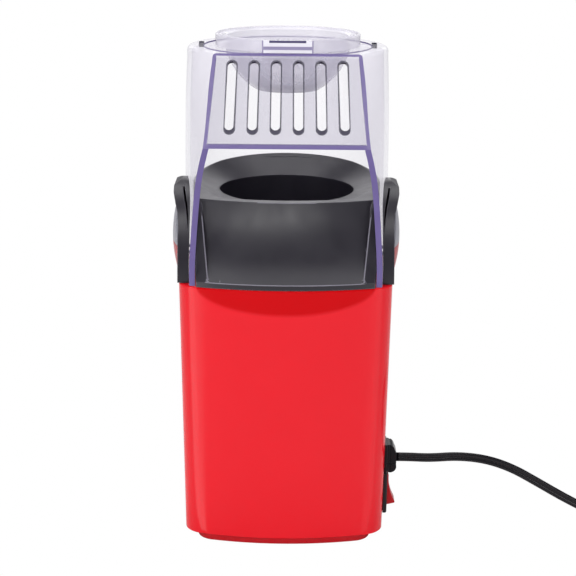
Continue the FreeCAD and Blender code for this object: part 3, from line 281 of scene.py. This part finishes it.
BOW_TOP, BOW_DEPTH, BOW_HALF = 0.1573, 0.0155, 0.0500    # painted reflection of the chute's dark lip: a dark half-ellipse under it
BOW_FRONT = (-0.055, -0.045)             # it fades out behind the front wall
BOW_BLUR = (-0.0012, 0.0022)             # its rim is this soft


def overlay(r, share, colour, rough):
    """Cover part of a see-through material with an opaque tint."""
    tint = r.add("ShaderNodeBsdfPrincipled")
    r.feed(tint.inputs["Base Color"], colour)
    tint.inputs["Roughness"].default_value = rough
    tint.inputs["Specular IOR Level"].default_value = 0.2
    r.lay(share, tint)


def panel_material():
    """Sloping front panel: brushed haze, violet along its sides, dark lines round its slots."""
    r = see_through("panel_clear", PANEL_TINT, (0.62, 0.61, 0.67), 0.09, 0.05, 0.25, BRUSHED)
    x, _, z = r.xyz()
    side = r.math("ABSOLUTE", x)
    up = r.math("DIVIDE", r.math("SUBTRACT", z, PANEL_FOOT), PANEL_HEAD - PANEL_FOOT)
    pitch = r.spread(up, 0.0, 1.0, *SLOT_PITCH)
    place = r.math("DIVIDE", side, pitch)
    middle = r.math("ADD", r.math("FLOOR", place), 0.5)
    across = r.math("MULTIPLY", r.math("SUBTRACT", place, middle), pitch)
    round_end = SLOT_HALF / PANEL_RUN
    first, last = SLOT_SPAN[0] + round_end, SLOT_SPAN[1] - round_end
    first -= SLOT_SHADE / PANEL_RUN
    over = r.math("SUBTRACT", up, r.math("MAXIMUM", first, r.math("MINIMUM", last, up)))
    past = r.math("MULTIPLY", over, PANEL_RUN)
    away = r.math("SQRT", r.math("ADD", r.math("MULTIPLY", across, across), r.math("MULTIPLY", past, past)))
    strength = r.spread(up, 0.16, 0.24, 0.92, 0.62)
    reach = SLOT_HALF + SLOT_RING
    line = r.spread(away, reach - 0.0002, reach + 0.0002, 1.0, 0.0)
    line = r.math("MULTIPLY", line, strength)
    beside = r.math("LESS_THAN", place, SLOTS_A_SIDE)
    overlay(r, r.math("MULTIPLY", line, beside), rgb(*SLOT_LINE), 0.22)
    half = r.spread(z, PANEL_FOOT, PANEL_HEAD, *PANEL_HALF)
    to_side = r.math("SUBTRACT", half, side)
    to_foot = r.math("SUBTRACT", z, PANEL_FOOT)
    to_top = r.math("MULTIPLY", r.math("SUBTRACT", PANEL_HEAD, z), BORDER_TOP)
    nearest = r.math("MINIMUM", to_side, r.math("MINIMUM", to_foot, to_top))
    overlay(r, r.spread(nearest, *PANEL_BORDER, 0.9, 0.0, smooth=True), rgb(*VIOLET), 0.25)
    return r.material


def cup_material():
    """Clear cup: silvery rim, grey haze in the bowl that is darker towards the bottom, and a front lug with
    violet edges.
    """
    r = see_through("cup_plastic", CUP_TINT, (0.88, 0.86, 0.93), 0.16, 0.34, 0.20, BRUSHED)
    x, y, z = r.xyz()
    side = r.math("ABSOLUTE", x)
    depth = r.spread(z, *BOWL_SHADE, smooth=True)
    bowl_grey = r.blend(depth, rgb(0.26, 0.25, 0.30), rgb(0.58, 0.57, 0.64))
    in_bowl = r.math("LESS_THAN", z, BOWL_TOP)
    on_rim = r.math("GREATER_THAN", z, BOWL_TOP)
    overlay(r, r.math("MULTIPLY", in_bowl, r.spread(z, *BOWL_HAZE, 0.34, 0.10)), bowl_grey, 0.20)
    overlay(r, r.math("MULTIPLY", on_rim, 0.18), rgb(0.86, 0.84, 0.91), 0.20)
    on_lug = r.math("LESS_THAN", y, LUG_FRONT)
    overlay(r, r.math("MULTIPLY", on_lug, 0.75), rgb(0.92, 0.90, 0.98), 0.25)
    foot = r.math("COMPARE", z, LUG_FOOT)
    foot.node.inputs[2].default_value = LUG_LINE
    flank = r.math("GREATER_THAN", side, LUG_FLANK)
    near = r.math("LESS_THAN", side, CREST_HALF)
    crest = r.math("MULTIPLY", r.math("GREATER_THAN", z, LUG_CREST), near)
    lines = r.math("MAXIMUM", foot, flank)
    overlay(r, r.math("MULTIPLY", r.math("MULTIPLY", on_lug, lines), 0.75), rgb(*VIOLET), 0.25)
    overlay(r, r.math("MULTIPLY", r.math("MULTIPLY", on_lug, crest), 0.95), rgb(*DARK_VIOLET), 0.25)
    return r.material


def edge_material(name, colour, rough):
    """Thin edge or cut wall in one colour, with faint cloudy drift."""
    r = Recipe(name)
    glow = r.noise(120.0, 3.0)
    r.put(Base_Color=r.blend(glow, rgb(*[c * 0.85 for c in colour]), rgb(*[c * 1.1 for c in colour])))
    r.put(Roughness=r.spread(glow, 0.3, 0.7, rough * 0.8, rough * 1.2), Specular_IOR_Level=0.25)
    r.relief(r.noise(800.0, 2.0), 0.03, 0.0001)
    return r.material


def red_material(name, first, second):
    """Glossy red; above a bow-shaped line under the chute's lip it is painted deeper and duller, a painted
    reflection of the dark lip.
    """
    r = Recipe(name)
    x, y, z = r.xyz()
    even = r.blend(r.noise(30.0, 2.0), rgb(*first), rgb(*second))
    flat = r.math("MULTIPLY", r.math("MULTIPLY", x, x), 1.0 / BOW_HALF ** 2)
    rise = r.math("SQRT", r.math("SUBTRACT", 1.0, flat, clamp=True))
    in_front = r.spread(y, *BOW_FRONT, 1.0, 0.0)
    bow = r.math("MULTIPLY", rise, in_front)
    above = r.math("SUBTRACT", z, r.math("SUBTRACT", BOW_TOP, r.math("MULTIPLY", bow, BOW_DEPTH)))
    lip_reflection = r.spread(above, *BOW_BLUR, smooth=True)
    # painted reflection of the dark lip above the bow: deep red colour there, and no coat
    r.put(Base_Color=r.blend(lip_reflection, even, rgb(0.600, 0.0008, 0.0035)))
    r.put(Roughness=r.spread(r.noise(SCUFF_SCALE, 5.0, SCUFF_STRETCH), 0.3, 0.7, 0.19, 0.25))
    r.put(Specular_IOR_Level=0.10, Coat_Weight=r.spread(lip_reflection, 0.0, 1.0, 0.28, 0.0), Coat_Roughness=0.06)
    r.relief(r.noise(GRAIN_SCALE, 2.0), 0.015, GRAIN_DEPTH, 0.0005)
    return r.material


MATERIALS = {
    "red_gloss": red_material("red_gloss", (0.78, 0.0075, 0.017), (0.81, 0.0085, 0.019)),
    # light edge colours here and below: partly wear, partly a painted highlight along the edges
    "black_satin": moulded("black_satin", (0.018, 0.016, 0.023), 0.33, 0.10, (0.30, 0.29, 0.33),
                           specular=0.42, edge_r=0.0008, edge_gain=2.4),
    "clear_plastic": see_through("clear_plastic", CLEAR_TINT, (0.90, 0.87, 0.99), 0.045, 0.24).material,
    "cup_plastic": cup_material(),
    "badge_grey": moulded("badge_grey", (0.26, 0.26, 0.30), 0.30, 0.02, specular=0.2),
    "badge_red": moulded("badge_red", (0.42, 0.003, 0.008), 0.30, 0.02, specular=0.15),
    "chamber_metal": metal("chamber_metal", (0.72, 0.72, 0.74), 0.30, (1.0, 1.0, 14.0)),
    "sheet_steel": metal("sheet_steel", (0.60, 0.60, 0.62), 0.34, (1.0, 1.0, 6.0)),
    "screw_steel": metal("screw_steel", (0.62, 0.62, 0.64), 0.28, (4.0, 4.0, 1.0)),
    "shaft_steel": metal("shaft_steel", (0.68, 0.68, 0.70), 0.20, (1.0, 1.0, 20.0)),
    "bush_bronze": metal("bush_bronze", (0.60, 0.42, 0.22), 0.38, (2.0, 2.0, 2.0)),
    "contact_brass": metal("contact_brass", (0.78, 0.60, 0.28), 0.24, (8.0, 8.0, 1.0)),
    "heater_alloy": metal("heater_alloy", (0.42, 0.38, 0.36), 0.45, (3.0, 3.0, 3.0)),
    "mica": moulded("mica", (0.50, 0.40, 0.28), 0.50, 0.10, (0.62, 0.52, 0.40)),
    "grey_nylon": moulded("grey_nylon", (0.40, 0.40, 0.41), 0.45, 0.08, (0.55, 0.55, 0.56)),
    "brown_phenolic": moulded("brown_phenolic", (0.10, 0.045, 0.025), 0.40, 0.06, (0.22, 0.12, 0.08)),
    "dark_magnet": moulded("dark_magnet", (0.035, 0.035, 0.04), 0.55, 0.12, (0.10, 0.10, 0.11)),
    "board_green": moulded("board_green", (0.02, 0.12, 0.05), 0.35, 0.04, (0.10, 0.25, 0.14)),
    "white_nylon": moulded("white_nylon", (0.76, 0.76, 0.71), 0.42, 0.06, (0.86, 0.86, 0.82)),
    "foot_rubber": moulded("foot_rubber", (0.022, 0.022, 0.023), 0.75, 0.20, (0.06, 0.06, 0.06)),
    "switch_black": moulded("switch_black", (0.007, 0.006, 0.008), 0.30, 0.06, (0.05, 0.05, 0.06),
                            specular=0.22),
    "rocker_red": moulded("rocker_red", (0.42, 0.003, 0.008), 0.26, 0.02, (0.75, 0.10, 0.12),
                          specular=0.16),
    "cord_black": moulded("cord_black", (0.006, 0.005, 0.007), 0.28, 0.05, specular=0.22, edge_r=0.0003),
}
OWN_LOOKS = {            # nodes that look a little different from the rest of their slot
    # base_plate: a darker copy of the housing red, painted shade of the low strip under the housing
    "base_plate": red_material("base_red_painted_shade", (0.46, 0.004, 0.009), (0.49, 0.005, 0.010)),
    "cord_guard": moulded("guard_black", (0.007, 0.006, 0.008), 0.24, 0.04, (0.10, 0.10, 0.12),
                          specular=0.12),
}
PANEL = panel_material()
WING_EDGE = edge_material("wing_edge", VIOLET, 0.35)
# near black on the walls of the roof's small holes: painted shade of their dark insides
HOLE_SHADE = edge_material("roof_hole_painted_shade", (0.010, 0.008, 0.030), 0.8)
# light grey on the scoop's rounded edges: a painted highlight
SCOOP_HIGHLIGHT = edge_material("scoop_edge_painted_highlight", (0.22, 0.21, 0.25), 0.35)
SLOT_EDGE = edge_material("slot_edge", (0.035, 0.028, 0.055), 0.25)


def dress_nodes():
    """Give every CAD node the material of its slot, or its own."""
    for row in frame["record"]["subparts"]:
        mesh = nodes[row["node"]].data
        mesh.materials.clear()
        mesh.materials.append(OWN_LOOKS.get(row["node"], MATERIALS[row["material_slot"]]))


SLOPE = Vector((0.0, -48.0, 28.0)).normalized()          # outward normal of the sloping panel
SLOPE_FOOT = at(0.0, -73.0, 235.0)       # a point on its lower edge
WING_FRONT = at(0.0, -68.0, 0.0).y       # the wings' front edges lie before this
ROOF_FOOT, ROOF_FRONT = 0.278, at(0.0, -50.0, 0.0).y     # the roof lies above and behind these
HOLE_X, HOLE_Y = (0.0485, 0.0530), at(0.0, 11.5, 0.0).y  # the two small holes beside the cup
GROOVE_R = (0.040, 0.0495)               # walls of the cup's opening and of the groove round it
SCOOP_BACK, SCOOP_FOOT = at(0.0, -46.0, 0.0).y, 0.156    # the scoop lies before and above these
FILLET_WIDTH = 0.00035                   # faces narrower than this belong to a rounded edge
CLEAR_FACE, PANEL_FACE, EDGE_FACE, SLOT_FACE, HOLE_FACE = range(5)       # the cover's materials


def cover_part(face):
    """Which of the cover's materials a face takes."""
    spot, normal = face.center, face.normal
    side = abs(spot.x)
    along = abs(normal.dot(SLOPE))
    depth = (spot - SLOPE_FOOT).dot(SLOPE)
    on_slope = PANEL_FOOT < spot.z < PANEL_HEAD - 0.0001
    if along > 0.995 and on_slope and spot.y < 0:
        return PANEL_FACE
    if spot.z < PANEL_FOOT + 0.0002 and normal.y < -0.985 and spot.y < WING_FRONT:
        return EDGE_FACE
    if abs(spot.z - PANEL_FOOT) < 0.0005 and normal.z < -0.99:
        return EDGE_FACE
    if on_slope and -0.0028 < depth < 0.0002 and side < 0.037 and along < 0.3:
        return SLOT_FACE
    if spot.z > ROOF_FOOT and abs(normal.z) < 0.3 and spot.y > ROOF_FRONT:
        from_axis = math.hypot(spot.x, spot.y - AXIS_Y * MM)
        if GROOVE_R[0] < from_axis < GROOVE_R[1]:
            return EDGE_FACE
        if HOLE_X[0] < side < HOLE_X[1] and abs(spot.y - HOLE_Y) < 0.0040 and from_axis < 0.0562:
            return HOLE_FACE
    return CLEAR_FACE


def dress_cover():
    """Panel, lower edges, slot walls, roof groove and holes of the cover take their own materials; the
    holes' walls are near black, a painted shade.
    """
    mesh = nodes["clear_cover"].data
    for extra in (PANEL, WING_EDGE, SLOT_EDGE, HOLE_SHADE):
        mesh.materials.append(extra)
    for face in mesh.polygons:
        face.material_index = cover_part(face)


def dress_chute():
    """The thin rounded edges round the scoop are painted light grey, a painted highlight."""
    mesh = nodes["chute"].data
    mesh.materials.append(SCOOP_HIGHLIGHT)
    for face in mesh.polygons:
        if face.center.y > SCOOP_BACK or face.center.z < SCOOP_FOOT:
            continue
        corners = [mesh.vertices[i].co for i in face.vertices]
        longest = max((corners[i] - corners[i - 1]).length for i in range(len(corners)))
        if 2.0 * face.area / longest < FILLET_WIDTH:
            face.material_index = 1


dress_nodes()
dress_cover()
dress_chute()


# ---- power cord ---------------------------------------------------------------------------------
CORD_WIDE = 5.5          # the flat flex, millimetres
CORD_THICK = 2.8
LEAD = [                 # from the guard down to the table, millimetres
    (66.4, -47.0, 45.2), (74.0, -47.0, 45.2), (87.0, -47.0, 44.6), (103.0, -47.0, 46.0),
    (120.0, -46.9, 44.2), (136.0, -46.7, 38.6), (152.0, -46.3, 29.2), (168.0, -45.5, 19.4),
    (184.0, -44.0, 10.4), (200.0, -41.2, 4.6), (217.0, -37.6, 2.8),
]
COIL_CENTRE = (235.0, -2.25)
COIL_R = (33.75, 28.25)  # radius of the outer and inner turns
COIL_Z = (2.75, 8.25)    # height of the lower and upper turns
TURNS = 4.25
TAIL = [(268.9, 10.0, 8.2), (270.2, 23.0, 8.0), (270.2, 37.0, 8.0)]
STEPS_PER_TURN = 24
STEP_FROM = 0.75         # from this share of a turn on, the flex steps over to its next station
CORE_START, CORE_SWEEP, CORE_STEPS = -48.0, 276.0, 8     # outline of one core, degrees
WEB_HALF = 0.50          # half the web between the cores, as a share of a core's radius


def coil_points():
    """The coil's turns: outer and inner below, then inner and outer above."""
    outer, inner = COIL_R
    low, high = COIL_Z
    stations = [(outer, low), (inner, low), (inner, high), (outer, high)]
    last = len(stations) - 1
    points = []
    for i in range(int(TURNS * STEPS_PER_TURN) + 1):
        turn = i / STEPS_PER_TURN
        k = min(int(turn), last)
        into = turn - k
        r, z = stations[k]
        if k < last and into > STEP_FROM:
            share = (into - STEP_FROM) / (1.0 - STEP_FROM)
            share = share * share * (3 - 2 * share)
            r += (stations[k + 1][0] - r) * share
            z += (stations[k + 1][1] - z) * share
        angle = math.radians(-90.0) + turn * 2 * math.pi
        points.append((COIL_CENTRE[0] + r * math.cos(angle), COIL_CENTRE[1] + r * math.sin(angle), z))
    return points


def smooth_line(points):
    """The points that a smooth spline through this route passes."""
    curve = bpy.data.curves.new("route", "CURVE")
    curve.dimensions = "3D"
    curve.resolution_u = 6
    spline = curve.splines.new("NURBS")
    spline.points.add(len(points) - 1)
    for knot, point in zip(spline.points, points):
        knot.co = (*point, 1.0)
    spline.order_u = 3
    spline.use_endpoint_u = True
    holder = bpy.data.objects.new("route", curve)
    bpy.context.scene.collection.objects.link(holder)
    bpy.context.view_layer.update()
    mesh = bpy.data.meshes.new_from_object(holder)
    line = [v.co.copy() for v in mesh.vertices]
    bpy.data.objects.remove(holder)
    bpy.data.curves.remove(curve)
    bpy.data.meshes.remove(mesh)
    return line


def twin_profile():
    """Section of twin flex: two round cores joined by a web, with a groove on each face."""
    core = CORD_THICK / 2
    offset = CORD_WIDE / 2 - core
    section = []
    for sign in (1, -1):
        for step in range(CORE_STEPS + 1):
            angle = math.radians(CORE_START + step * CORE_SWEEP / CORE_STEPS)
            section.append((sign * (offset + core * math.sin(angle)), sign * core * math.cos(angle)))
        section.append((0.0, -sign * core * WEB_HALF))
    return section


def flex_mesh(name, line):
    """Twin flex along a line, with its wide side upright."""
    section = twin_profile()
    count = len(section)
    verts, faces = [], []
    for i, point in enumerate(line):
        along = (line[min(i + 1, len(line) - 1)] - line[max(i - 1, 0)]).normalized()
        wide = (Vector((0, 0, 1)) - along * along.z).normalized()
        thin = along.cross(wide)
        verts += [point + (wide * w + thin * t) * MM for w, t in section]
        if i:
            base = (i - 1) * count
            for k in range(count):
                nxt = (k + 1) % count
                faces.append((base + k, base + nxt, base + count + nxt, base + count + k))
    faces.append(tuple(reversed(range(count))))
    faces.append(tuple(range(len(verts) - count, len(verts))))
    mesh = bpy.data.meshes.new(name)
    mesh.from_pydata(verts, [], faces)
    mesh.validate()
    for face in mesh.polygons:
        face.use_smooth = True
    mesh.materials.append(MATERIALS["cord_black"])
    piece = bpy.data.objects.new(name, mesh)
    bpy.context.scene.collection.objects.link(piece)
    return piece


def build_cord():
    """One flex from the guard to the plug, coiled where it is out of the picture."""
    route = LEAD + coil_points() + TAIL
    line = smooth_line([at(*p) for p in route])
    flex = flex_mesh("power_flex", line)
    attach(flex, "base_unit")
    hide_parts("power_cord", "cord_coil")


build_cord()


# ---- studio -------------------------------------------------------------------------------------
POOL_FROM = (0.050, 0.066)               # front corner of the housing, at either side
POOL_LEFT, POOL_RIGHT = 2.6, 0.7         # strength of the light pools on the floor
POOL_OPENS, POOL_CLOSES = (0.37, 0.42), (0.68, 0.76)     # seen from the corner: 0 is ahead, 1 is sideways


def pool_of_light(r):
    """Wedges of light before the front corners, which the housing mirrors as upright bands."""
    x, y, _ = r.xyz()
    out = r.math("SUBTRACT", r.math("ABSOLUTE", x), POOL_FROM[0])
    fore = r.math("SUBTRACT", r.math("MULTIPLY", y, -1.0), POOL_FROM[1])
    lean = r.math("DIVIDE", out, r.math("MAXIMUM", r.math("ADD", out, fore), 0.001))
    opens = r.spread(lean, *POOL_OPENS, smooth=True)
    closes = r.spread(lean, *POOL_CLOSES, 1.0, 0.0, smooth=True)
    wedge = r.math("MULTIPLY", opens, closes)
    ahead = r.math("MULTIPLY", r.math("GREATER_THAN", out, 0.0), r.math("GREATER_THAN", fore, 0.0))
    side = r.spread(x, -0.01, 0.01, POOL_LEFT, POOL_RIGHT)
    gloss = r.add("ShaderNodeLightPath").outputs["Is Glossy Ray"]
    return r.math("MULTIPLY", r.math("MULTIPLY", r.math("MULTIPLY", wedge, ahead), side), gloss)


def build_floor():
    """White paper: even white to the eye, matt to the light, with light pools that only gloss shows."""
    mesh = bpy.data.meshes.new("floor")
    reach = 6.0
    corners = [(-reach, -reach, 0), (reach, -reach, 0), (reach, reach, 0), (-reach, reach, 0)]
    mesh.from_pydata(corners, [], [(0, 1, 2, 3)])
    floor = bpy.data.objects.new("floor", mesh)
    floor.location.z = -0.0002
    bpy.context.scene.collection.objects.link(floor)
    r = Recipe("floor_white")
    paper = r.noise(3.0, 2.0)
    r.put(Base_Color=r.blend(paper, rgb(0.90, 0.90, 0.90), rgb(0.93, 0.93, 0.93)))
    r.put(Roughness=r.spread(paper, 0.3, 0.7, 0.6, 0.8), Specular_IOR_Level=0.1)
    seen = r.lay(r.add("ShaderNodeLightPath").outputs["Is Camera Ray"], r.add("ShaderNodeEmission"))
    glow = r.add("ShaderNodeEmission")
    r.join(pool_of_light(r), glow.inputs["Strength"])
    both = r.add("ShaderNodeAddShader")
    r.join(seen.outputs[0], both.inputs[0])
    r.join(glow.outputs[0], both.inputs[1])
    r.join(both.outputs[0], r.output.inputs["Surface"])
    mesh.materials.append(r.material)


def softbox(name, place, target, width, height, power):
    """A rectangular lamp that faces its target."""
    data = bpy.data.lights.new(name, "AREA")
    data.shape = "RECTANGLE"
    data.size = width
    data.size_y = height
    data.energy = power
    lamp = bpy.data.objects.new(name, data)
    lamp.location = place
    lamp.rotation_euler = (Vector(target) - Vector(place)).to_track_quat("-Z", "Y").to_euler()
    bpy.context.scene.collection.objects.link(lamp)


def build_world():
    """White to the eye, and a weaker, even light to the object."""
    world = bpy.data.worlds.new("studio")
    world.use_nodes = True
    bpy.context.scene.world = world
    tree = world.node_tree
    tree.nodes.clear()
    output = tree.nodes.new("ShaderNodeOutputWorld")
    seen = tree.nodes.new("ShaderNodeBackground")
    seen.inputs["Color"].default_value = (1.0, 1.0, 1.0, 1.0)
    seen.inputs["Strength"].default_value = 1.0
    lit = tree.nodes.new("ShaderNodeBackground")
    lit.inputs["Color"].default_value = (0.96, 0.96, 1.0, 1.0)
    lit.inputs["Strength"].default_value = 0.30
    path = tree.nodes.new("ShaderNodeLightPath")
    pick = tree.nodes.new("ShaderNodeMixShader")
    tree.links.new(path.outputs["Is Camera Ray"], pick.inputs[0])
    tree.links.new(lit.outputs[0], pick.inputs[1])
    tree.links.new(seen.outputs[0], pick.inputs[2])
    tree.links.new(pick.outputs[0], output.inputs["Surface"])


build_floor()
build_world()
MIDDLE = (0.0, 0.0, 0.15)
softbox("key_front", (-0.25, -1.20, 1.25), MIDDLE, 1.3, 0.45, 9.0)
softbox("top_back", (0.0, 0.18, 1.35), MIDDLE, 1.1, 0.8, 8.5)
softbox("side_left", (-1.10, -0.80, 0.45), MIDDLE, 0.22, 1.3, 6.5)
softbox("side_right", (1.10, -0.80, 0.45), MIDDLE, 0.18, 1.3, 4.5)
softbox("fill_back", (0.0, 1.6, 0.9), MIDDLE, 1.4, 0.9, 6.0)
bpy.context.scene.view_settings.view_transform = "Standard"
bpy.context.scene.view_settings.look = "None"
